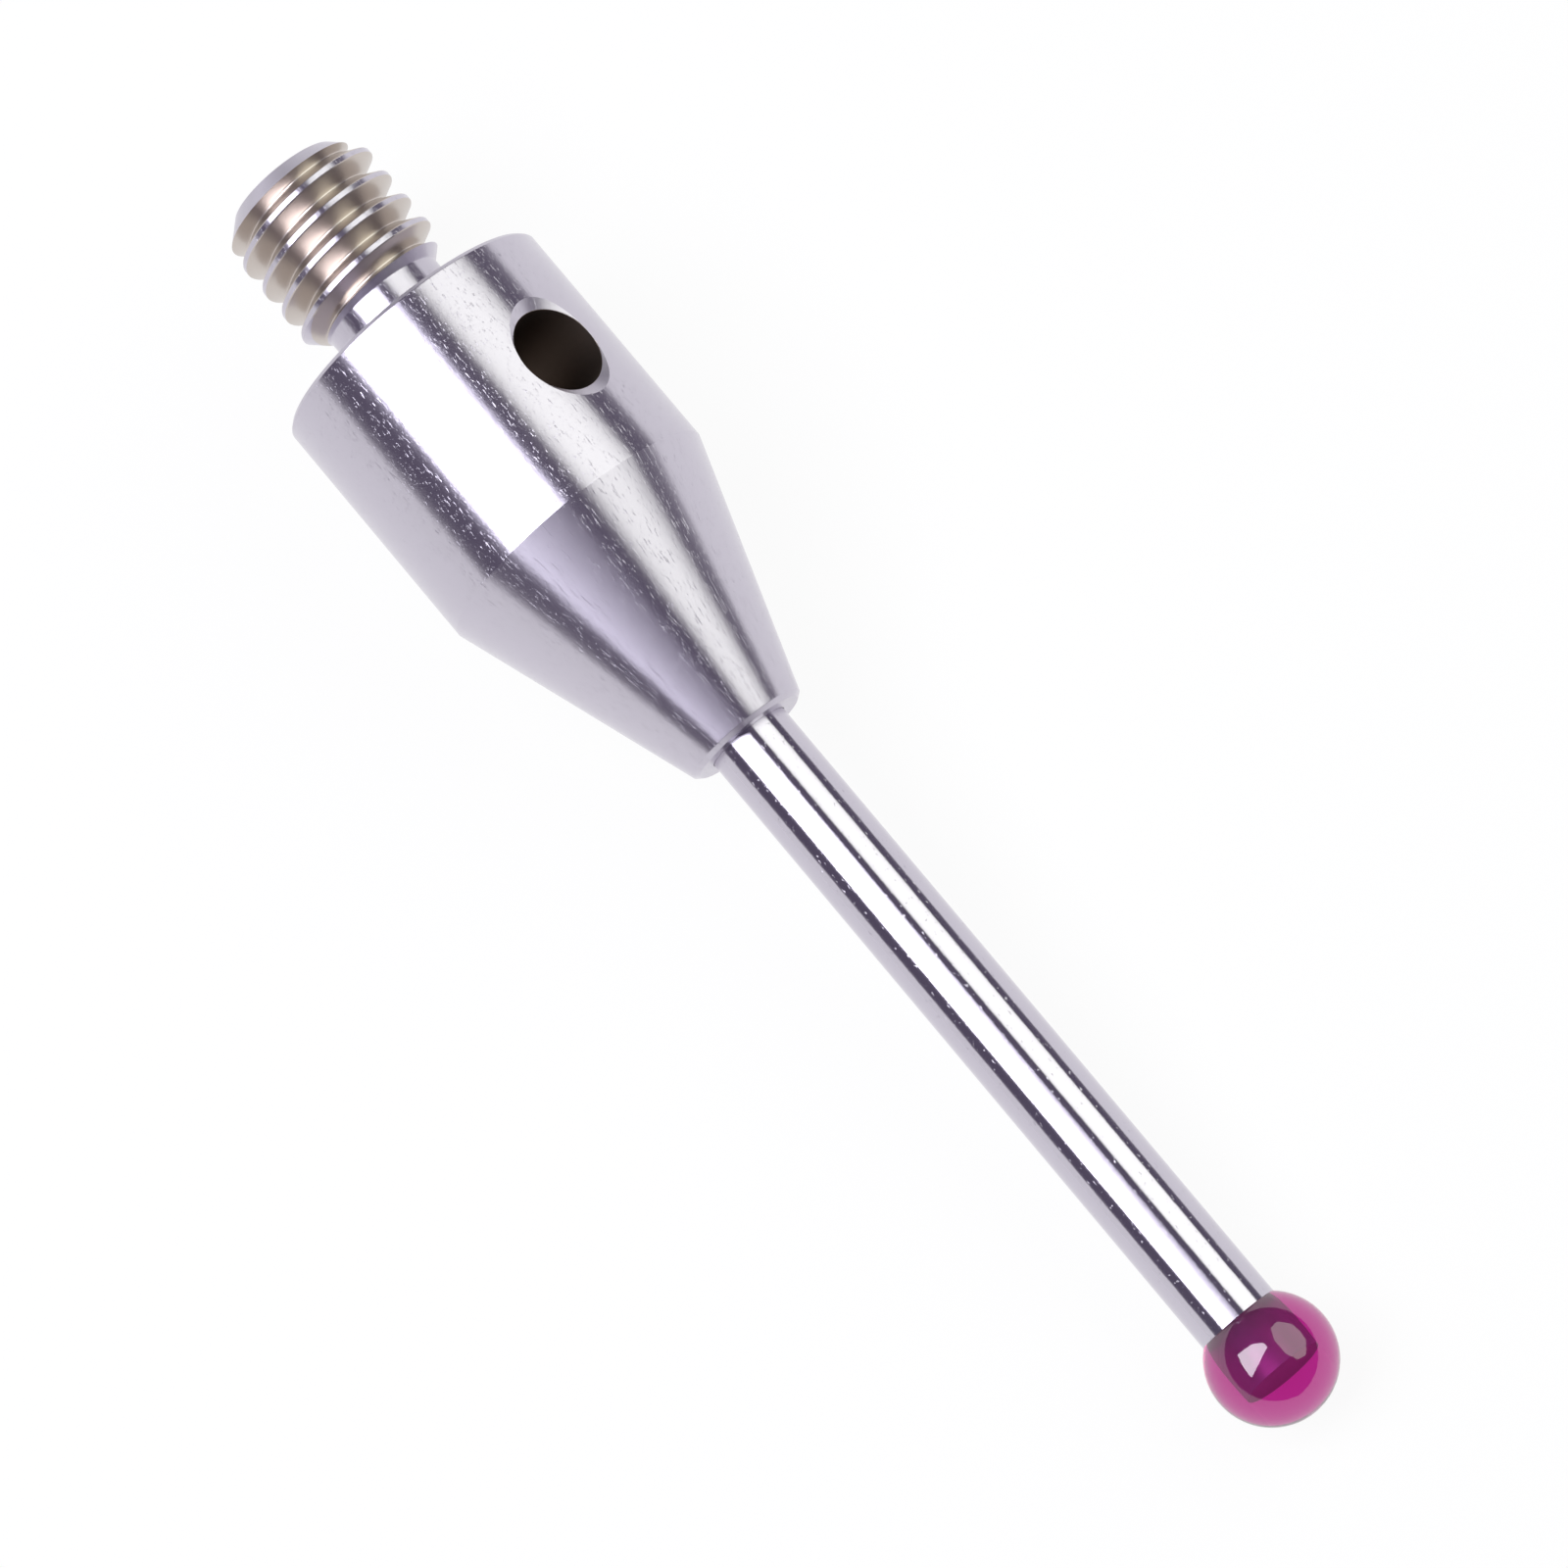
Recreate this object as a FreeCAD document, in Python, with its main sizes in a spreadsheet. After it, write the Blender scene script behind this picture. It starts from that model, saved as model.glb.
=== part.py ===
import FreeCAD, Part
import os
import Sketcher

# A touch-probe stylus: a turned steel holder with an M4 screw stud, a ground carbide stem
# bonded into its nose, and a ruby ball drilled and bonded onto a peg on the stem.
#
# Every piece is drawn in the stylus's own frame, in millimetres: X runs along the axis from the
# stud to the ball, X = 0 is the shoulder face that seats in the probe, and the cross hole runs
# along Z. The pieces are then laid down together as the stylus rests on a table, on the front
# rim of its barrel and on its ball.

SIZES = (
    # screw stud, M4 x 0.7 right hand
    ("thread_nominal", 4.0, "M4"),
    ("thread_diameter", 3.9, "over the crests, within the M4 6g allowance"),
    ("thread_pitch", 0.7, "coarse M4"),
    ("thread_overrun", 0.94, "the cutter starts this far beyond the tip"),
    ("stud_length", 4.6, "shoulder face to tip"),
    ("tip_chamfer", 0.55, "45 degree lead at the tip"),
    ("neck_diameter", 3.0, "relief between thread and shoulder"),
    ("neck_length", 1.0, "length of the relief"),
    # barrel, cone and nose
    ("barrel_diameter", 7.0, ""),
    ("barrel_length", 6.0, ""),
    ("shoulder_break", 0.1, "edge break round the shoulder face"),
    ("cone_length", 6.0, "barrel to nose face"),
    ("nose_diameter", 3.0, ""),
    ("nose_break", 0.1, "edge break round the nose face"),
    # cross hole for a tommy bar
    ("hole_place", 3.0, "from the shoulder face"),
    ("hole_diameter", 2.15, ""),
    ("hole_mouth", 2.72, "diameter of the countersinks at the barrel's skin"),
    ("mouth_slope", 60.0, "degrees, half angle of the countersinks"),
    # stem
    ("stem_diameter", 2.0, ""),
    ("stem_depth", 4.0, "length held in the nose"),
    ("bond_gap", 0.01, "radial gap that the adhesive fills"),
    ("bond_pool", 0.05, "adhesive between the stem's end and the bore's full depth"),
    ("drill_depth", 0.6, "cone left by the drill at the bottom of the bore"),
    # ball
    ("ball_diameter", 3.0, ""),
    ("ball_reach", 30.0, "shoulder face to ball centre"),
    ("peg_diameter", 1.14, "peg on the stem that enters the ball"),
    ("peg_reach", 0.2, "peg's end beyond the ball centre"),
    # how the stylus lies
    ("roll", -45.0, "degrees about the axis, cross hole away from upright"),
)

# Places and lengths that follow from those sizes, as formulas.

# ISO metric form: depth 0.6134 P, flanks 30 degrees to the section, and a crest flat of P/8 at
# the nominal diameter, wider where the crests are turned below it
THREAD_DEPTH = "(0.6134 * sizes.thread_pitch)"
CREST = "(sizes.thread_diameter / 2)"
GROOVE_HALF = f"(0.4375 * sizes.thread_pitch - (sizes.thread_nominal / 2 - {CREST}) * tan(30))"
# the thread cutter stands a little proud of the crests
CUTTER_PROUD = "(0.05 * sizes.thread_pitch)"
NOSE_FACE = "(sizes.barrel_length + sizes.cone_length)"
STEM_END = f"({NOSE_FACE} - sizes.stem_depth)"
PEG_END = "(sizes.ball_reach + sizes.peg_reach)"
# the cup on the stem is the part of the ball's sphere inside the stem's section
CUP_RIM = "(sizes.ball_reach - sqrt(sizes.ball_diameter ^ 2 - sizes.stem_diameter ^ 2) / 2)"
CUP_FLOOR = "(sizes.ball_reach - sqrt(sizes.ball_diameter ^ 2 - sizes.peg_diameter ^ 2) / 2)"
# the line that touches the barrel's front rim and the ball slopes this much to the axis
RIM = "(sizes.barrel_diameter / 2)"
RIM_TO_BALL = "(sizes.ball_reach - sizes.barrel_length)"
DIP = (
    f"(atan({RIM} / {RIM_TO_BALL})"
    f" - asin(sizes.ball_diameter / 2 / sqrt({RIM} ^ 2 + {RIM_TO_BALL} ^ 2)))"
)

NEAR = 1e-6  # millimetres within which an edge counts as found
LEAST_CUT = 0.001  # cubic millimetres that any cut must take away


def fill_sheet(doc):
    """The driving sizes, one to a row: name, value in millimetres or degrees, note."""
    sheet = doc.addObject("Spreadsheet::Sheet", "sizes")
    for row, (alias, value, note) in enumerate(SIZES, start=1):
        sheet.set(f"A{row}", alias)
        sheet.set(f"B{row}", str(value))
        sheet.set(f"C{row}", note)
        sheet.setAlias(f"B{row}", alias)
    doc.recompute()


def new_body(doc, node):
    """A body for one piece; its label names the piece's file."""
    body = doc.addObject("PartDesign::Body", node)
    body.Label = node
    return body


def new_sketch(body, name, role="XZ_Plane"):
    """A sketch on one of the body's own origin planes."""
    sketch = body.newObject("Sketcher::SketchObject", name)
    plane = next(f for f in body.Origin.OriginFeatures if f.Role == role)
    sketch.AttachmentSupport = (plane, [""])
    sketch.MapMode = "FlatFace"
    return sketch


def pin_point(sketch, edge, end, spot, height_only=False):
    """Tie an edge's end (1 start, 2 finish, 3 centre) to a pair of formulas."""
    for way, formula in zip(("DistanceX", "DistanceY"), spot):
        if height_only and way == "DistanceX":
            continue
        value = sketch.evalExpression(formula)
        index = sketch.addConstraint(Sketcher.Constraint(way, -1, 1, edge, end, value))
        sketch.setExpression(f"Constraints[{index}]", formula)


def draw_outline(sketch, corners, arcs=None):
    """A closed outline through corners given as pairs of formulas.

    Edge n runs from corner n to the next. It is straight, or a counter-clockwise arc where
    arcs gives its centre; the arc's radius then settles how far along it finishes.
    """
    arcs = arcs or {}
    spots = [place_of(sketch, spot) for spot in corners]
    for edge, (here, there) in enumerate(zip(spots, spots[1:] + spots[:1])):
        if edge in arcs:
            centre = place_of(sketch, arcs[edge])
            circle = Part.Circle(centre, FreeCAD.Vector(0, 0, 1), (here - centre).Length)
            ends = (circle.parameter(here), circle.parameter(there))
            sketch.addGeometry(Part.ArcOfCircle(circle, *ends), False)
        else:
            sketch.addGeometry(Part.LineSegment(here, there), False)
    for edge, spot in enumerate(corners):
        after = (edge + 1) % len(corners)
        sketch.addConstraint(Sketcher.Constraint("Coincident", edge, 2, after, 1))
        if edge in arcs:
            pin_point(sketch, edge, 3, arcs[edge])
        follows_arc = (edge - 1) % len(corners) in arcs
        pin_point(sketch, edge, 1, spot, height_only=follows_arc)


def place_of(sketch, spot):
    """The point that a pair of formulas gives now."""
    return FreeCAD.Vector(*(sketch.evalExpression(formula) for formula in spot))


def turn(body, sketch, name, kind="PartDesign::Revolution", axis="H_Axis"):
    """Turn a sketch a full circle about one of its own axes; a Groove cuts what it sweeps."""
    feature = body.newObject(kind, name)
    feature.Profile = sketch
    feature.ReferenceAxis = (sketch, [axis])
    feature.Angle = 360.0
    body.Document.recompute()


def turn_away(body, sketch, name, axis="H_Axis"):
    """Turn a sketch to cut, and stop if the cut took nothing away."""
    before = body.Shape.Volume
    turn(body, sketch, name, "PartDesign::Groove", axis)
    check_cut(body, name, before)


def rims_at(body, place, radius):
    """Names of the body's round edges of a radius that stand at a place along the axis."""
    return [
        f"Edge{number}"
        for number, edge in enumerate(body.Shape.Edges, start=1)
        if isinstance(edge.Curve, Part.Circle)
        and abs(edge.Curve.Radius - radius) < NEAR
        and abs(edge.Curve.Center.x - place) < NEAR
    ]


def break_rim(body, name, place, diameter, width):
    """Chamfer the rim of the round face at a place along the axis, all given as formulas."""
    turned = body.Tip
    rims = rims_at(body, turned.evalExpression(place), turned.evalExpression(diameter) / 2)
    chamfer = body.newObject("PartDesign::Chamfer", name)
    chamfer.Base = (turned, rims)
    chamfer.setExpression("Size", width)
    body.Document.recompute()


def lay_down(body):
    """Roll the piece about the stylus's axis, then dip the ball end onto the table."""
    body.setExpression(
        "Placement",
        "create(<<placement>>; create(<<vector>>; 0; 0; 0); "
        f"create(<<rotation>>; 0; {DIP}; sizes.roll))",
    )


def check_cut(body, name, before):
    """Stop if the body's volume is no smaller than it was before a cut."""
    if body.Shape.Volume > before - LEAST_CUT:
        raise RuntimeError(f"{name} cut nothing")


def make_holder(doc):
    """Steel holder, turned in one piece: stud, barrel, cone and nose."""
    body = new_body(doc, "holder")

    blank = new_sketch(body, "holder_section")
    draw_outline(
        blank,
        (
            ("-sizes.stud_length", "0"),
            ("-sizes.stud_length", f"{CREST} - sizes.tip_chamfer"),
            ("-sizes.stud_length + sizes.tip_chamfer", CREST),
            (f"-sizes.neck_length - ({CREST} - sizes.neck_diameter / 2)", CREST),
            ("-sizes.neck_length", "sizes.neck_diameter / 2"),
            ("0", "sizes.neck_diameter / 2"),
            ("0", RIM),
            ("sizes.barrel_length", RIM),
            (NOSE_FACE, "sizes.nose_diameter / 2"),
            (NOSE_FACE, "0"),
        ),
    )
    turn(body, blank, "turned_blank")
    break_rim(body, "shoulder_rim", "0", "sizes.barrel_diameter", "sizes.shoulder_break")
    break_rim(body, "nose_rim", NOSE_FACE, "sizes.nose_diameter", "sizes.nose_break")

    bore = new_sketch(body, "nose_bore_section")
    bore_radius = "sizes.stem_diameter / 2 + sizes.bond_gap"
    draw_outline(
        bore,
        (
            (f"{STEM_END} - sizes.bond_pool - sizes.drill_depth", "0"),
            (f"{STEM_END} - sizes.bond_pool", bore_radius),
            (NOSE_FACE, bore_radius),
            (NOSE_FACE, "0"),
        ),
    )
    turn_away(body, bore, "nose_bore")

    # one groove about the hole's own axis cuts the hole and both its countersinks
    hole = new_sketch(body, "cross_hole_section")
    hole.setExpression("AttachmentOffset.Base.x", "sizes.hole_place")
    flare = "(sizes.hole_mouth - sizes.hole_diameter) / 2"
    sink = f"{flare} / tan(sizes.mouth_slope)"
    draw_outline(
        hole,
        (
            ("0", f"-{RIM} - {sink}"),
            (f"sizes.hole_mouth / 2 + {flare}", f"-{RIM} - {sink}"),
            ("sizes.hole_diameter / 2", f"-{RIM} + {sink}"),
            ("sizes.hole_diameter / 2", f"{RIM} - {sink}"),
            (f"sizes.hole_mouth / 2 + {flare}", f"{RIM} + {sink}"),
            ("0", f"{RIM} + {sink}"),
        ),
    )
    turn_away(body, hole, "cross_hole", "V_Axis")

    cut_thread(body)
    return body


def cut_thread(body):
    """The M4 thread: one V groove swept along a right-hand helix, in from beyond the tip."""
    groove = new_sketch(body, "thread_groove_section")
    start = "-sizes.stud_length - sizes.thread_overrun"
    mouth = f"({GROOVE_HALF} + {CUTTER_PROUD} * tan(30))"
    foot = f"({GROOVE_HALF} - {THREAD_DEPTH} * tan(30))"
    draw_outline(
        groove,
        (
            (f"{start} - {mouth}", f"{CREST} + {CUTTER_PROUD}"),
            (f"{start} + {mouth}", f"{CREST} + {CUTTER_PROUD}"),
            (f"{start} + {foot}", f"{CREST} - {THREAD_DEPTH}"),
            (f"{start} - {foot}", f"{CREST} - {THREAD_DEPTH}"),
        ),
    )
    before = body.Shape.Volume
    helix = body.newObject("PartDesign::SubtractiveHelix", "thread")
    helix.Profile = groove
    helix.ReferenceAxis = (groove, ["H_Axis"])
    helix.Mode = "pitch-height-angle"
    helix.setExpression("Pitch", "sizes.thread_pitch")
    helix.setExpression(
        "Height", "sizes.stud_length + sizes.thread_overrun - sizes.neck_length / 2"
    )
    helix.LeftHanded = False
    helix.Reversed = False
    body.Document.recompute()
    check_cut(body, "thread", before)


def make_stem(doc):
    """Ground carbide stem with a cup that seats the ball and a peg that enters it."""
    body = new_body(doc, "stem")
    rod = new_sketch(body, "stem_section")
    radius = "sizes.stem_diameter / 2"
    peg = "sizes.peg_diameter / 2"
    draw_outline(
        rod,
        (
            (STEM_END, "0"),
            (STEM_END, radius),
            (CUP_RIM, radius),
            (CUP_FLOOR, peg),
            (PEG_END, peg),
            (PEG_END, "0"),
        ),
        arcs={2: ("sizes.ball_reach", "0")},
    )
    turn(body, rod, "ground_rod")
    return body


def make_ball(doc):
    """Ruby ball with a blind hole for the stem's peg."""
    body = new_body(doc, "ball")
    half = new_sketch(body, "ball_section")
    draw_outline(
        half,
        (
            ("sizes.ball_reach + sizes.ball_diameter / 2", "0"),
            ("sizes.ball_reach - sizes.ball_diameter / 2", "0"),
        ),
        arcs={0: ("sizes.ball_reach", "0")},
    )
    turn(body, half, "lapped_ball")

    hole = new_sketch(body, "peg_hole_section")
    hole_radius = "sizes.peg_diameter / 2 + sizes.bond_gap"
    hole_end = f"{PEG_END} + sizes.bond_pool"
    outside = "sizes.ball_reach - sizes.ball_diameter"
    draw_outline(
        hole,
        (
            (outside, "0"),
            (outside, hole_radius),
            (hole_end, hole_radius),
            (hole_end, "0"),
        ),
    )
    turn_away(body, hole, "peg_hole")
    return body


def check_built(doc, bodies):
    """Stop if any object failed, or if a piece isn't one sound solid."""
    for thing in doc.Objects:
        if {"Invalid", "Error"} & set(thing.State):
            raise RuntimeError(f"{thing.Name} failed: {thing.State}")
    for body in bodies:
        shape = body.Shape
        if shape.isNull() or not shape.isValid() or len(shape.Solids) != 1:
            raise RuntimeError(f"{body.Label} isn't one sound solid")


def main():
    doc = FreeCAD.newDocument("stylus")
    fill_sheet(doc)
    bodies = [make_holder(doc), make_stem(doc), make_ball(doc)]
    for body in bodies:
        lay_down(body)
    doc.recompute()
    check_built(doc, bodies)
    os.makedirs("parts", exist_ok=True)
    for body in bodies:
        body.Shape.exportStep(f"parts/{body.Label}.step")
        print(body.Label, round(body.Shape.Volume, 3), "cubic mm")


main()
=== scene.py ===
from math import asin, atan, cos, degrees, hypot, pi, radians, sin, tan

import bmesh
import bpy
from mathutils import Euler, Matrix, Vector


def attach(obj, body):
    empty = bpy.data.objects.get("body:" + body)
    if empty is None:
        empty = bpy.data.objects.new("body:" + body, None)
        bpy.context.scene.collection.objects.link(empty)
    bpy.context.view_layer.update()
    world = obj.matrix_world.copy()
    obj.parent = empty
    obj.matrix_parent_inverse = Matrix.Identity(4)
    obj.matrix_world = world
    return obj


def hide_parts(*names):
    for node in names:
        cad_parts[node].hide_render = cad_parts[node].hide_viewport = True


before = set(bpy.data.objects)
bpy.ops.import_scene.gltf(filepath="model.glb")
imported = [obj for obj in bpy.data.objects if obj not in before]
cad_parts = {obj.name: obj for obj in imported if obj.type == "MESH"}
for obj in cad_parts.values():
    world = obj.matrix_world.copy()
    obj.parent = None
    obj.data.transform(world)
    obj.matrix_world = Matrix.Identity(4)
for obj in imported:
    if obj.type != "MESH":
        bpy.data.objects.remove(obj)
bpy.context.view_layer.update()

# A touch-probe stylus: a turned steel holder with an M4 stud, a polished carbide stem and a
# ruby ball. Pieces are drawn in millimetres in the stylus's own frame, X along its axis from
# stud to ball, X = 0 at the shoulder face and the cross hole along Z, and are then laid down
# as the stylus rests: on the front rim of its barrel and on its ball.

# ---- sizes, millimetres and degrees ----

STUD_LENGTH = 4.6
THREAD_NOMINAL = 2.0  # radius of M4
THREAD_RADIUS = 1.95
THREAD_PITCH = 0.7
THREAD_DEPTH = 0.6134 * THREAD_PITCH
GROOVE_HALF = 0.4375 * THREAD_PITCH  # half the groove's width at the nominal radius
FLANK = 30.0
CREST_BREAK = 0.015
THREAD_START = -STUD_LENGTH - 0.94
THREAD_END = -0.5
TIP_CHAMFER = 0.55
NECK_RADIUS = 1.5
NECK_LENGTH = 1.0
BARREL_RADIUS = 3.5
BARREL_LENGTH = 6.0
EDGE_BREAK = 0.1
NOSE_FACE = 12.0
NOSE_RADIUS = 1.5
HOLE_PLACE = 3.0
HOLE_RADIUS = 1.075
HOLE_MOUTH = 1.36
MOUTH_SLOPE = 60.0  # half angle of the countersinks
STEM_RADIUS = 1.0
BORE_RADIUS = 1.01
STEM_END = 8.0
DRILL_CLEARANCE = 0.05  # the nose bore runs this much past the stem
DRILL_POINT = 0.6
BALL_RADIUS = 1.5
BALL_REACH = 30.0
PEG_RADIUS = 0.57
PEG_END = 30.2
ROLL = -45.0

RIM_TO_BALL = BALL_REACH - BARREL_LENGTH
DIP = atan(BARREL_RADIUS / RIM_TO_BALL) - asin(BALL_RADIUS / hypot(BARREL_RADIUS, RIM_TO_BALL))
TABLE = -(BARREL_RADIUS * cos(DIP) + BARREL_LENGTH * sin(DIP))

MM = 0.001
LAY_DOWN = (
    Matrix.Rotation(DIP, 4, "Y") @ Matrix.Rotation(radians(ROLL), 4, "X") @ Matrix.Scale(MM, 4)
)

ROUND = 256  # facets round each piece
HOLE_ROUND = 192  # facets round the cross hole
BALL_STEPS = 128
CUP_STEPS = 16
GUARD = 0.03  # a ring this close to the end of a long run keeps smooth shading true
TOUCHING = 1e-4  # points nearer than this are one point
SEAT = 0.001  # the ruby runs this far into the metal it is bonded to
CREASE = 22.0  # degrees at which two faces meet in a sharp edge

# the finishes of the holder, and of the stem, by their material's place
TURNED, DRILLED, CUT_THREAD = 0, 1, 2
POLISHED, BONDED = 0, 1


# ---- shapes ----

def arc(centre, radius, start, finish, steps):
    """Points (along, out) on an arc about a centre, angles in degrees from +X towards outward."""
    turn = (finish - start) / steps
    angles = [radians(start + turn * step) for step in range(steps + 1)]
    return [(centre[0] + radius * cos(a), centre[1] + radius * sin(a)) for a in angles]


def rounded(corner, before, after, radius, steps=4):
    """Points of a small round that softens a corner between two straight runs."""
    corner = Vector(corner)
    back = (Vector(before) - corner).normalized()
    on = (Vector(after) - corner).normalized()
    half = back.angle(on) / 2
    middle = corner + (back + on).normalized() * radius / sin(half)
    first = corner + back * radius / tan(half)
    last = corner + on * radius / tan(half)
    points = []
    for step in range(steps + 1):
        chord = first.lerp(last, step / steps) - middle
        points.append(tuple(middle + chord.normalized() * radius))
    return points


def softened(corners, radii):
    """A profile whose corners are rounded; radius 0 leaves a corner sharp."""
    points = [corners[0]]
    for before, corner, after, radius in zip(corners, corners[1:], corners[2:], radii):
        if radius:
            points += rounded(corner, before, after, radius)
        else:
            points.append(corner)
    points.append(corners[-1])
    return points


def with_guards(points):
    """Adds a ring close to each end of every long run."""
    guarded = [points[0]]
    for here, there in zip(points, points[1:]):
        a, b = Vector(here), Vector(there)
        span = (b - a).length
        if span > 6 * GUARD:
            guarded.append(tuple(a.lerp(b, GUARD / span)))
            guarded.append(tuple(a.lerp(b, 1 - GUARD / span)))
        guarded.append(there)
    return guarded


def turned(profile, axis="X", facets=ROUND):
    """A closed solid turned from a profile (along, out) that starts and ends on the axis."""
    shape = bmesh.new()
    if axis == "X":
        points = [shape.verts.new((along, 0, out)) for along, out in profile]
        spindle = (1, 0, 0)
    else:
        points = [shape.verts.new((out, 0, along)) for along, out in profile]
        spindle = (0, 0, 1)
    line = [shape.edges.new(pair) for pair in zip(points, points[1:])]
    bmesh.ops.spin(
        shape, geom=points + line, cent=(0, 0, 0), axis=spindle,
        angle=2 * pi, steps=facets, use_merge=True,
    )
    bmesh.ops.remove_doubles(shape, verts=shape.verts, dist=TOUCHING)
    bmesh.ops.recalc_face_normals(shape, faces=shape.faces)
    return shape


def as_object(shape, name, *finishes):
    """Makes a shape an object whose finishes are in the order of its faces' numbers."""
    mesh = bpy.data.meshes.new(name)
    for finish in finishes:
        mesh.materials.append(finish)
    shape.to_mesh(mesh)
    shape.free()
    thing = bpy.data.objects.new(name, mesh)
    bpy.context.scene.collection.objects.link(thing)
    return thing


def cut_away(body, shape):
    """Takes a cutter's shape out of a body."""
    cutter = as_object(shape, "cutter", *body.data.materials)
    step = body.modifiers.new("cut", "BOOLEAN")
    step.operation = "DIFFERENCE"
    step.solver = "EXACT"
    step.object = cutter
    state = bpy.context.evaluated_depsgraph_get()
    cut = bpy.data.meshes.new_from_object(body.evaluated_get(state))
    body.modifiers.clear()
    body.data = cut
    bpy.data.objects.remove(cutter)


def settle(piece, node):
    """Shades, lays down and hands over a finished piece that stands for a CAD node."""
    shape = bmesh.new()
    shape.from_mesh(piece.data)
    for face in shape.faces:
        face.smooth = True
    for edge in shape.edges:
        edge.smooth = len(edge.link_faces) == 2 and edge.calc_face_angle(0) < radians(CREASE)
    bmesh.ops.transform(shape, matrix=LAY_DOWN, verts=shape.verts)
    shape.to_mesh(piece.data)
    shape.free()
    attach(piece, "root")
    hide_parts(node)


def thread_cutter():
    """One V groove swept along a right-hand helix, a hair wider at the crest to break it."""
    slope = tan(radians(FLANK))
    groove = GROOVE_HALF - (THREAD_NOMINAL - THREAD_RADIUS) * slope
    proud = 0.05
    root = THREAD_RADIUS - THREAD_DEPTH
    foot = groove - THREAD_DEPTH * slope
    half = (
        (groove + CREST_BREAK + proud, THREAD_RADIUS + proud),
        (groove + CREST_BREAK, THREAD_RADIUS),
        (groove - CREST_BREAK * slope, THREAD_RADIUS - CREST_BREAK),
        (foot + 0.03, root + 0.03 / slope),
        (foot, root + 0.014),
        (foot * 0.45, root),
    )
    section = [(THREAD_START - out, 0, up) for out, up in half]
    section += [(THREAD_START + out, 0, up) for out, up in reversed(half)]
    shape = bmesh.new()
    corners = [shape.verts.new(point) for point in section]
    face = shape.faces.new(corners)
    per_turn = ROUND
    steps = round((THREAD_END - THREAD_START) / THREAD_PITCH * per_turn)
    bmesh.ops.spin(
        shape, geom=[face] + list(face.edges) + corners, cent=(0, 0, 0), axis=(1, 0, 0),
        dvec=(THREAD_PITCH / per_turn, 0, 0), angle=2 * pi * steps / per_turn, steps=steps,
        use_merge=False,
    )
    bmesh.ops.recalc_face_normals(shape, faces=shape.faces)
    for face in shape.faces:
        face.material_index = CUT_THREAD
    return shape


def hole_cutter():
    """The drill and the two countersinks of the cross hole."""
    flare = HOLE_MOUTH - HOLE_RADIUS
    sink = flare / tan(radians(MOUTH_SLOPE))
    mouth = (
        (-BARREL_RADIUS - sink, 0),
        (-BARREL_RADIUS - sink, HOLE_MOUTH + flare),
        (-BARREL_RADIUS + sink, HOLE_RADIUS),
        (BARREL_RADIUS - sink, HOLE_RADIUS),
        (BARREL_RADIUS + sink, HOLE_MOUTH + flare),
        (BARREL_RADIUS + sink, 0),
    )
    shape = turned(with_guards(softened(mouth, (0, 0.02, 0.02, 0))), axis="Z", facets=HOLE_ROUND)
    for face in shape.faces:
        if max(hypot(corner.co.x, corner.co.y) for corner in face.verts) < HOLE_RADIUS + 0.01:
            face.material_index = DRILLED
    bmesh.ops.translate(shape, vec=(HOLE_PLACE, 0, 0), verts=shape.verts)
    return shape


def make_holder():
    """The holder turned from its profile, drilled across and threaded."""
    chamfer = THREAD_RADIUS - NECK_RADIUS
    corners = (
        (-STUD_LENGTH, 0),
        (-STUD_LENGTH, THREAD_RADIUS - TIP_CHAMFER),
        (-STUD_LENGTH + TIP_CHAMFER, THREAD_RADIUS),
        (-NECK_LENGTH - chamfer, THREAD_RADIUS),
        (-NECK_LENGTH, NECK_RADIUS),
        (0, NECK_RADIUS),
        (0, BARREL_RADIUS - EDGE_BREAK),
        (EDGE_BREAK, BARREL_RADIUS),
        (BARREL_LENGTH, BARREL_RADIUS),
        (NOSE_FACE - EDGE_BREAK, NOSE_RADIUS + EDGE_BREAK / 3),
        (NOSE_FACE, NOSE_RADIUS - EDGE_BREAK),
        (NOSE_FACE, BORE_RADIUS),
        (STEM_END - DRILL_CLEARANCE, BORE_RADIUS),
        (STEM_END - DRILL_CLEARANCE - DRILL_POINT, 0),
    )
    radii = (0.03, 0, 0, 0.05, 0.05, 0.03, 0.03, 0.02, 0.03, 0.03, 0.01, 0)
    blank = turned(with_guards(softened(corners, radii)))
    holder = as_object(blank, "steel_holder", turned_steel(), drilled_steel_painted_shade(), thread_steel())
    cut_away(holder, hole_cutter())
    cut_away(holder, thread_cutter())
    return holder


def make_stem():
    """The ground rod, its cup and peg a hair inside the ruby."""
    cup_radius = BALL_RADIUS - SEAT
    rim = degrees(asin(STEM_RADIUS / cup_radius))
    floor = degrees(asin(PEG_RADIUS / cup_radius))
    cup = arc((BALL_REACH, 0), cup_radius, 180 - rim, 180 - floor, CUP_STEPS)
    profile = [(STEM_END, 0)]
    profile += with_guards([(STEM_END, STEM_RADIUS), cup[0]])
    profile += cup[1:]
    profile += [(PEG_END, PEG_RADIUS), (PEG_END, 0)]
    shape = turned(profile)
    for face in shape.faces:
        inside = min(hypot(corner.co.y, corner.co.z) for corner in face.verts)
        reach = max(corner.co.x for corner in face.verts)
        if inside < STEM_RADIUS - 0.02 and reach > cup[-1][0] - TOUCHING:
            face.material_index = BONDED
    return as_object(shape, "carbide_stem", polished_carbide(), bonded_carbide())


def make_ball():
    """The ruby sphere with its blind hole for the peg."""
    hole_radius = PEG_RADIUS - SEAT
    mouth = degrees(asin(hole_radius / BALL_RADIUS))
    profile = [(BALL_REACH + BALL_RADIUS, 0)]
    profile += arc((BALL_REACH, 0), BALL_RADIUS, 0, 180 - mouth, BALL_STEPS)[1:]
    profile += [(PEG_END - SEAT, hole_radius), (PEG_END - SEAT, 0)]
    return as_object(turned(profile), "ruby_ball", ruby_material())


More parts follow.
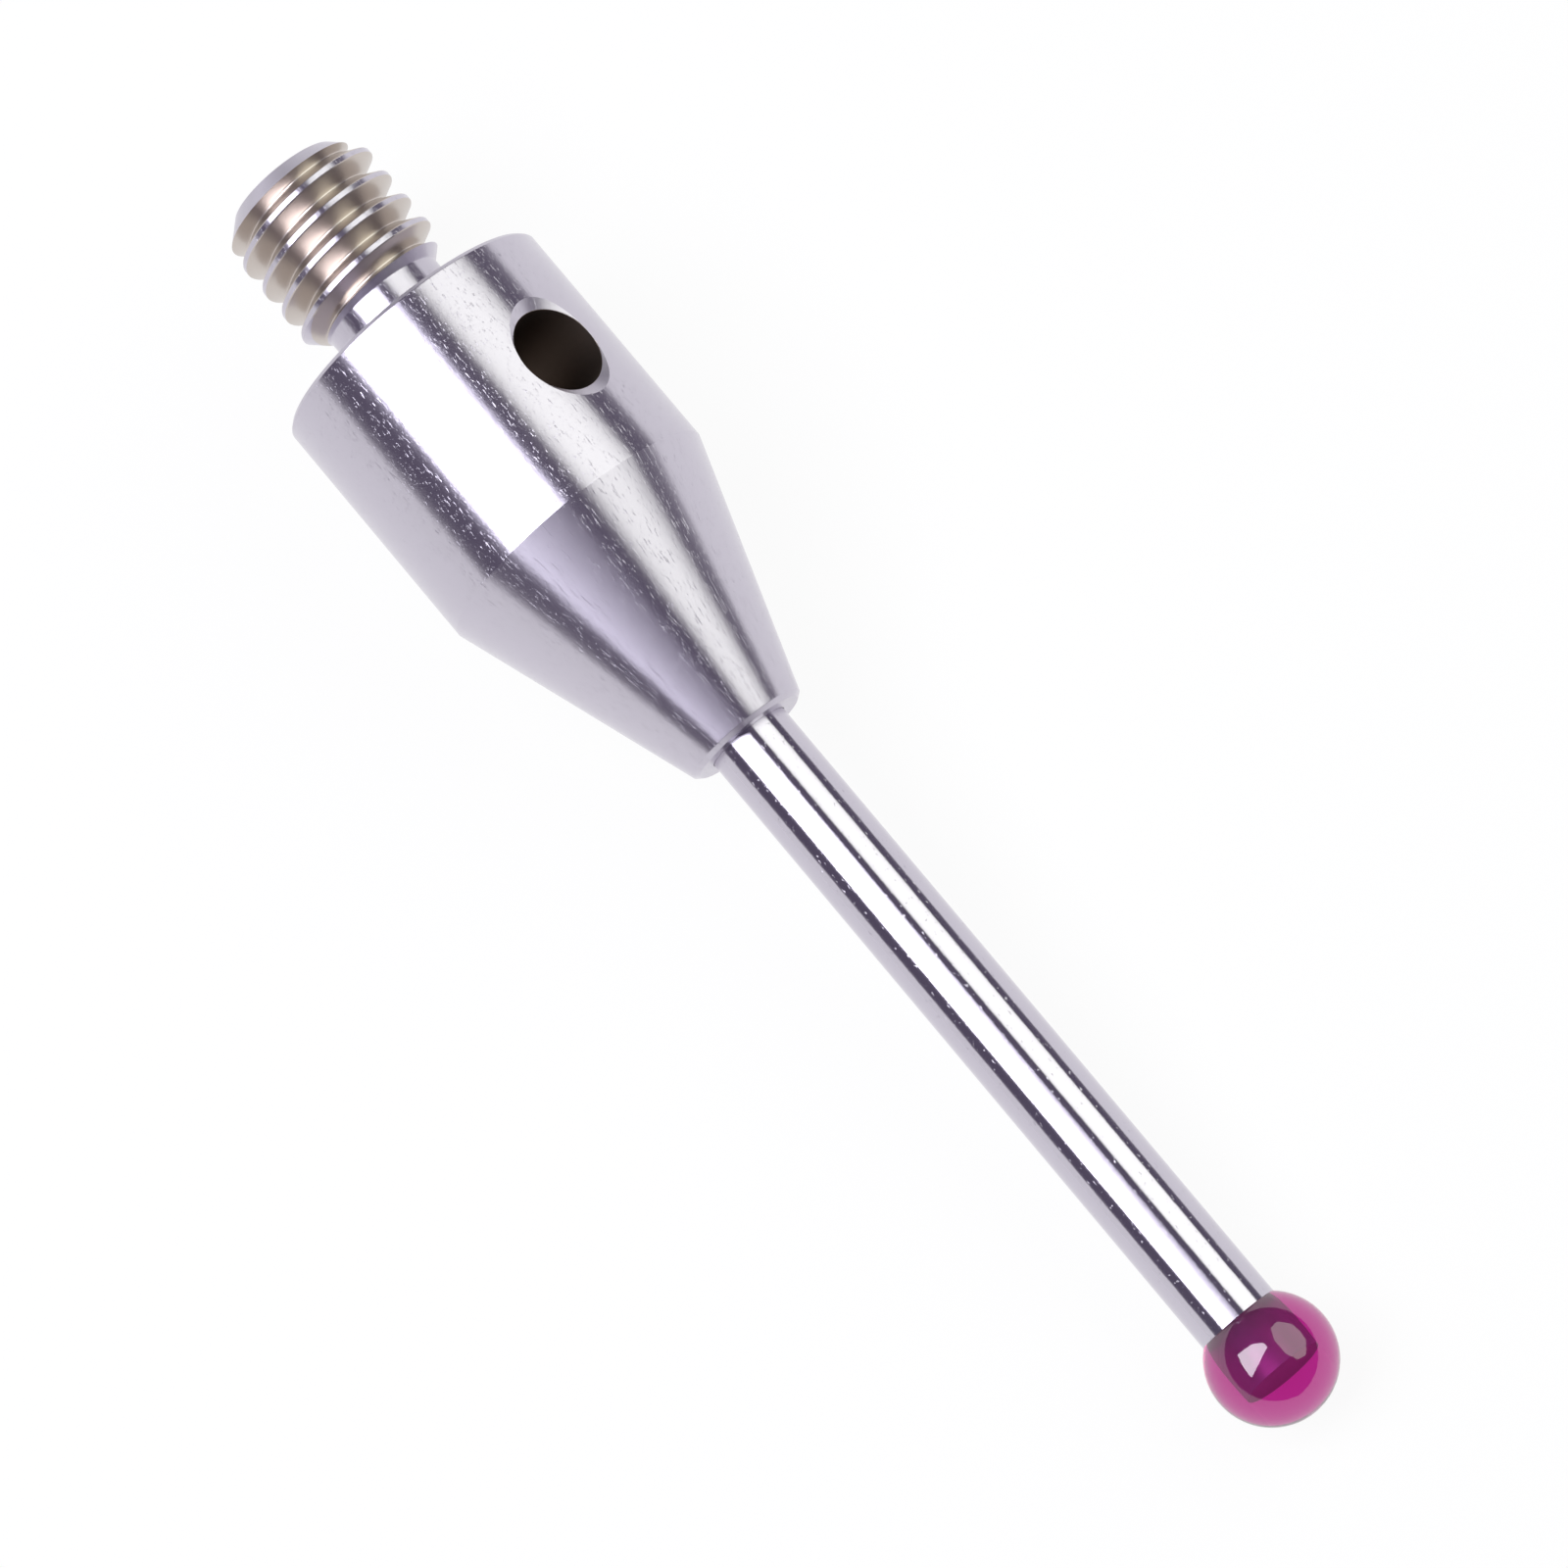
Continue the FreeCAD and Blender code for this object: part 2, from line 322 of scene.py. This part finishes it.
# ---- materials ----

def linear(colour):
    """An sRGB hex colour as linear RGBA."""
    channels = [int(colour[place:place + 2], 16) / 255 for place in (1, 3, 5)]
    return [c / 12.92 if c <= 0.04045 else ((c + 0.055) / 1.055) ** 2.4 for c in channels] + [1]


def new_material(name):
    material = bpy.data.materials.new(name)
    material.use_nodes = True
    material.node_tree.nodes.clear()
    return material, material.node_tree


def add(tree, kind, settings=None, **sockets):
    """Adds a node: settings are its own properties, sockets (i0, i1 or a name) values or links."""
    node = tree.nodes.new(kind)
    for name, value in (settings or {}).items():
        setattr(node, name, value)
    for name, value in sockets.items():
        numbered = name[0] == "i" and name[1:].isdigit()
        socket = node.inputs[int(name[1:]) if numbered else name.replace("_", " ")]
        if isinstance(value, bpy.types.NodeSocket):
            tree.links.new(value, socket)
        else:
            socket.default_value = value
    return node


def own_axes(tree):
    """Object coordinates turned to the stylus's own axes, in millimetres."""
    place = add(tree, "ShaderNodeTexCoord").outputs["Object"]
    turn = LAY_DOWN.to_3x3().normalized().inverted().to_euler()
    return add(
        tree, "ShaderNodeMapping", Vector=place, Rotation=turn, Scale=(1 / MM,) * 3
    ).outputs[0]


def round_skin(tree, radius):
    """Coordinates on a round piece's skin: along it and out over its faces, and round it."""
    own = add(tree, "ShaderNodeSeparateXYZ", Vector=own_axes(tree))
    square = [
        add(tree, "ShaderNodeMath", {"operation": "POWER"}, i0=own.outputs[way], i1=2.0).outputs[0]
        for way in ("Y", "Z")
    ]
    out = add(tree, "ShaderNodeMath", {"operation": "ADD"}, i0=square[0], i1=square[1])
    out = add(tree, "ShaderNodeMath", {"operation": "SQRT"}, i0=out.outputs[0])
    along = add(
        tree, "ShaderNodeMath", {"operation": "ADD"}, i0=own.outputs["X"], i1=out.outputs[0]
    )
    angle = add(
        tree, "ShaderNodeMath", {"operation": "ARCTAN2"}, i0=own.outputs["Y"], i1=own.outputs["Z"]
    )
    arc_length = add(
        tree, "ShaderNodeMath", {"operation": "MULTIPLY"}, i0=angle.outputs[0], i1=radius
    )
    return add(
        tree, "ShaderNodeCombineXYZ", X=along.outputs[0], Y=arc_length.outputs[0]
    ).outputs[0]


def marks(tree, skin, turn, scale, detail, low, high):
    """Noise laid over the skin, turned and stretched, and spread between two levels to 0 ... 1."""
    laid = add(
        tree, "ShaderNodeMapping", Vector=skin, Rotation=(0, 0, radians(turn)), Scale=scale
    )
    noise = add(
        tree, "ShaderNodeTexNoise", Vector=laid.outputs[0], Scale=1.0, Detail=detail, Roughness=0.6
    )
    return add(
        tree, "ShaderNodeMapRange", Value=noise.outputs["Fac"], From_Min=low, From_Max=high
    ).outputs[0]


def relief(tree, height, depth, before=None):
    """Turns marks into a relief of the given depth in millimetres."""
    sockets = {"Height": height, "Strength": 1.0, "Distance": depth * MM}
    if before:
        sockets["Normal"] = before
    return add(tree, "ShaderNodeBump", **sockets).outputs[0]


def across_the_rings(tree):
    """The way in which rings of tool marks spread a glint: along the axis, a hair askew."""
    return add(tree, "ShaderNodeCombineXYZ", X=AXIS.x, Y=0.02, Z=AXIS.z).outputs[0]


def turned_steel():
    """Stainless steel, turned: fine rings round it, and the nicks and scuffs of use."""
    material, tree = new_material("stainless_steel_turned")
    skin = round_skin(tree, BARREL_RADIUS)
    rings = marks(tree, skin, 0, (45, 0.6, 1), 3, 0.3, 0.7)  # tool marks 0.02 mm apart
    dents = marks(tree, skin, 0, (5, 5, 1), 3, 0.3, 0.7)  # waviness of 0.2 mm
    scuffs = marks(tree, skin, 35, (3.2, 22, 1), 2, 0.62, 0.72)  # scratches 0.3 mm long
    nicks = marks(tree, skin, -40, (9, 26, 1), 2, 0.66, 0.74)
    bumps = relief(tree, dents, 0.0007)
    bumps = relief(tree, rings, 0.00025, bumps)
    bumps = relief(tree, scuffs, 0.002, bumps)
    bumps = relief(tree, nicks, 0.0025, bumps)
    shader = add(
        tree, "ShaderNodeBsdfPrincipled", Base_Color=linear("#c8c3cf"), Metallic=1.0,
        Roughness=0.28, Anisotropic=0.92, Tangent=across_the_rings(tree), Normal=bumps,
    )
    add(tree, "ShaderNodeOutputMaterial", Surface=shader.outputs[0])
    return material


def drilled_steel_painted_shade():
    """The wall of the cross hole: drilled and dull; its darker brown colour is painted shade of
    the hole.
    """
    material, tree = new_material("stainless_steel_drilled_painted_shade")
    # painted shade: the dark brown base colour stands in for the shade inside the hole
    shader = add(
        tree, "ShaderNodeBsdfPrincipled", Base_Color=linear("#8a7d75"), Metallic=1.0,
        Roughness=0.4,
    )
    add(tree, "ShaderNodeOutputMaterial", Surface=shader.outputs[0])
    return material


def thread_steel():
    """Stainless steel, thread cut: warmer and a little duller than the barrel."""
    material, tree = new_material("stainless_steel_thread_cut")
    shader = add(
        tree, "ShaderNodeBsdfPrincipled", Base_Color=linear("#c7beb8"), Metallic=1.0,
        Roughness=0.28,
    )
    add(tree, "ShaderNodeOutputMaterial", Surface=shader.outputs[0])
    return material


def polished_carbide():
    """Tungsten carbide, centreless ground and polished, with small handling nicks."""
    material, tree = new_material("tungsten_carbide_polished")
    skin = round_skin(tree, STEM_RADIUS)
    nicks = marks(tree, skin, 30, (7, 14, 1), 2, 0.66, 0.74)
    waves = marks(tree, skin, 0, (2.5, 4, 1), 2, 0.3, 0.7)
    bumps = relief(tree, nicks, 0.003, relief(tree, waves, 0.0005))
    shader = add(
        tree, "ShaderNodeBsdfPrincipled", Base_Color=linear("#c8c3cf"), Metallic=1.0,
        Roughness=0.2, Anisotropic=0.95, Tangent=across_the_rings(tree), Normal=bumps,
    )
    add(tree, "ShaderNodeOutputMaterial", Surface=shader.outputs[0])
    return material


def bonded_carbide():
    """The cup and peg under the ball: ground matt and wet with adhesive."""
    material, tree = new_material("tungsten_carbide_bonded")
    shader = add(
        tree, "ShaderNodeBsdfPrincipled", Base_Color=linear("#b9afb6"), Metallic=1.0,
        Roughness=0.55,
    )
    add(tree, "ShaderNodeOutputMaterial", Surface=shader.outputs[0])
    return material


def ruby_material():
    """Synthetic ruby, lapped to a mirror finish and clear inside."""
    material, tree = new_material("synthetic_ruby_lapped")
    shader = add(
        tree, "ShaderNodeBsdfPrincipled", Base_Color=(1, 1, 1, 1), Roughness=0.0,
        IOR=1.77, Transmission_Weight=1.0,
    )
    depth = add(
        tree, "ShaderNodeVolumeAbsorption", Color=(0.845, 0.041, 0.70, 1), Density=1600.0
    )
    add(tree, "ShaderNodeOutputMaterial", Surface=shader.outputs[0], Volume=depth.outputs[0])
    return material


# ---- stage ----

SHEET = 1000.0  # half the sheet's length
SHEET_END = 59.0  # its far edge, from the middle
SWEEP = 100.0  # where its near side turns up
SWEEP_RISE = 31.0
PAPER_GLOW = 0.93  # share of plain white that the eye and the metal see in the paper


def floor_material():
    """Matt white paper; it shows white to the eye and in metal and glass."""
    material, tree = new_material("white_paper")
    path = add(tree, "ShaderNodeLightPath")
    seen = add(
        tree, "ShaderNodeMath", {"operation": "MAXIMUM"},
        i0=path.outputs["Is Camera Ray"], i1=path.outputs["Is Glossy Ray"],
    )
    seen = add(
        tree, "ShaderNodeMath", {"operation": "MAXIMUM"},
        i0=seen.outputs[0], i1=path.outputs["Is Transmission Ray"],
    )
    share = add(
        tree, "ShaderNodeMath", {"operation": "MULTIPLY"}, i0=seen.outputs[0], i1=PAPER_GLOW
    )
    paper = add(tree, "ShaderNodeBsdfDiffuse", Color=(0.8, 0.8, 0.8, 1))
    glow = add(tree, "ShaderNodeEmission", Color=(1, 1, 1, 1), Strength=1.0)
    both = add(
        tree, "ShaderNodeMixShader", i0=share.outputs[0], i1=paper.outputs[0], i2=glow.outputs[0]
    )
    add(tree, "ShaderNodeOutputMaterial", Surface=both.outputs[0])
    return material


def make_floor():
    """A white sheet: it ends on the far side, and is swept up on the near side."""
    shape = bmesh.new()
    bmesh.ops.create_grid(shape, x_segments=1, y_segments=1, size=SHEET * MM)
    for corner in shape.verts:
        corner.co.y = SHEET_END * MM if corner.co.y > 0 else -SWEEP * MM
        corner.co.z = TABLE * MM
    floor = as_object(shape, "paper_floor")
    floor.data.materials.append(floor_material())
    shape = bmesh.new()
    foot = [shape.verts.new((x * SHEET * MM, -SWEEP * MM, TABLE * MM)) for x in (-1, 1)]
    edge = shape.edges.new(foot)
    rise = bmesh.ops.extrude_edge_only(shape, edges=[edge])["geom"]
    bmesh.ops.translate(
        shape, vec=(0, 0, SWEEP_RISE * MM),
        verts=[part for part in rise if isinstance(part, bmesh.types.BMVert)],
    )
    sweep = as_object(shape, "paper_sweep")
    sweep.data.materials.append(floor.data.materials[0])
    sweep.visible_camera = False


UPRIGHT = Vector((sin(DIP), 0, cos(DIP)))  # square to the axis, nearest to straight up
SIDEWAYS = Vector((0, 1, 0))
AXIS = Vector((cos(DIP), 0, -sin(DIP)))
MIDDLE = 16.0  # the point on the axis from which the lamps' corners are sighted


def sighted(around, back):
    """A direction, by its angle about the axis from upright towards +Y, and back to the stud."""
    turn, lean = radians(around), radians(back)
    out = UPRIGHT * cos(turn) + SIDEWAYS * sin(turn)
    return out * cos(lean) - AXIS * sin(lean)


def lamp_face(name, corners, distance, colour, strength):
    """A flat soft lamp whose corners are sighted from the middle of the stylus."""
    sights = [sighted(*corner) for corner in corners]
    facing = sum(sights, Vector()).normalized()
    middle = AXIS * MIDDLE * MM
    shape = bmesh.new()
    shape.faces.new([
        shape.verts.new(middle + sight * distance / sight.dot(facing)) for sight in sights
    ])
    lamp = as_object(shape, name)
    material, tree = new_material(name)
    glow = add(tree, "ShaderNodeEmission", Color=(*colour, 1), Strength=strength)
    add(tree, "ShaderNodeOutputMaterial", Surface=glow.outputs[0])
    lamp.data.materials.append(material)
    lamp.visible_camera = False


# corners of the near softbox, as (around, back) in degrees
NEAR_SOFTBOX = ((-44.5, 33.8), (-8, 33.8), (9.5, 23.5), (9.5, 13), (-20, 0.4), (-44.5, -7.5))
FAR_SOFTBOX = (49.0, 1.0)  # middle of the eight-sided one
FAR_HALF_WIDTH = 23.0
FAR_HALF_LENGTH = 33.0
EIGHTH = 45.0


def far_corners():
    """Corners of an eight-sided softbox with its flats level and upright."""
    past_flat = 1 / cos(radians(EIGHTH / 2))
    turns = [radians(EIGHTH * (corner + 0.5)) for corner in range(8)]
    return [
        (FAR_SOFTBOX[0] + FAR_HALF_WIDTH * past_flat * cos(turn),
         FAR_SOFTBOX[1] + FAR_HALF_LENGTH * past_flat * sin(turn))
        for turn in turns
    ]


def make_lights():
    lamp_face("near_softbox", NEAR_SOFTBOX, 0.25, (0.93, 0.93, 1.0), 7.0)
    lamp_face("far_softbox", far_corners(), 0.35, (1.0, 1.04, 0.94), 1.9)
    world = bpy.data.worlds.new("room")
    bpy.context.scene.world = world
    world.use_nodes = True
    tree = world.node_tree
    tree.nodes.clear()
    path = add(tree, "ShaderNodeLightPath")
    dim = add(tree, "ShaderNodeBackground", Color=(0.13, 0.11, 0.16, 1), Strength=1.0)
    white = add(tree, "ShaderNodeBackground", Color=(1, 1, 1, 1), Strength=1.0)
    both = add(
        tree, "ShaderNodeMixShader", i0=path.outputs["Is Camera Ray"],
        i1=dim.outputs[0], i2=white.outputs[0],
    )
    add(tree, "ShaderNodeOutputWorld", Surface=both.outputs[0])


def make_camera():
    camera = bpy.data.cameras.new("camera")
    camera.sensor_width = 36.0
    camera.lens = 168.75
    camera.clip_start = 0.01
    thing = bpy.data.objects.new("camera", camera)
    place = Vector((53.331, 5.740, 157.036)) * MM
    turn = Euler([radians(a) for a in (9.652, 10.683, 50.796)])
    thing.matrix_world = Matrix.LocRotScale(place, turn, None)
    bpy.context.scene.collection.objects.link(thing)
    bpy.context.scene.camera = thing


make_camera()
make_lights()
make_floor()
settle(make_holder(), "holder")
settle(make_stem(), "stem")
settle(make_ball(), "ball")

bpy.context.scene.view_settings.view_transform = "Standard"
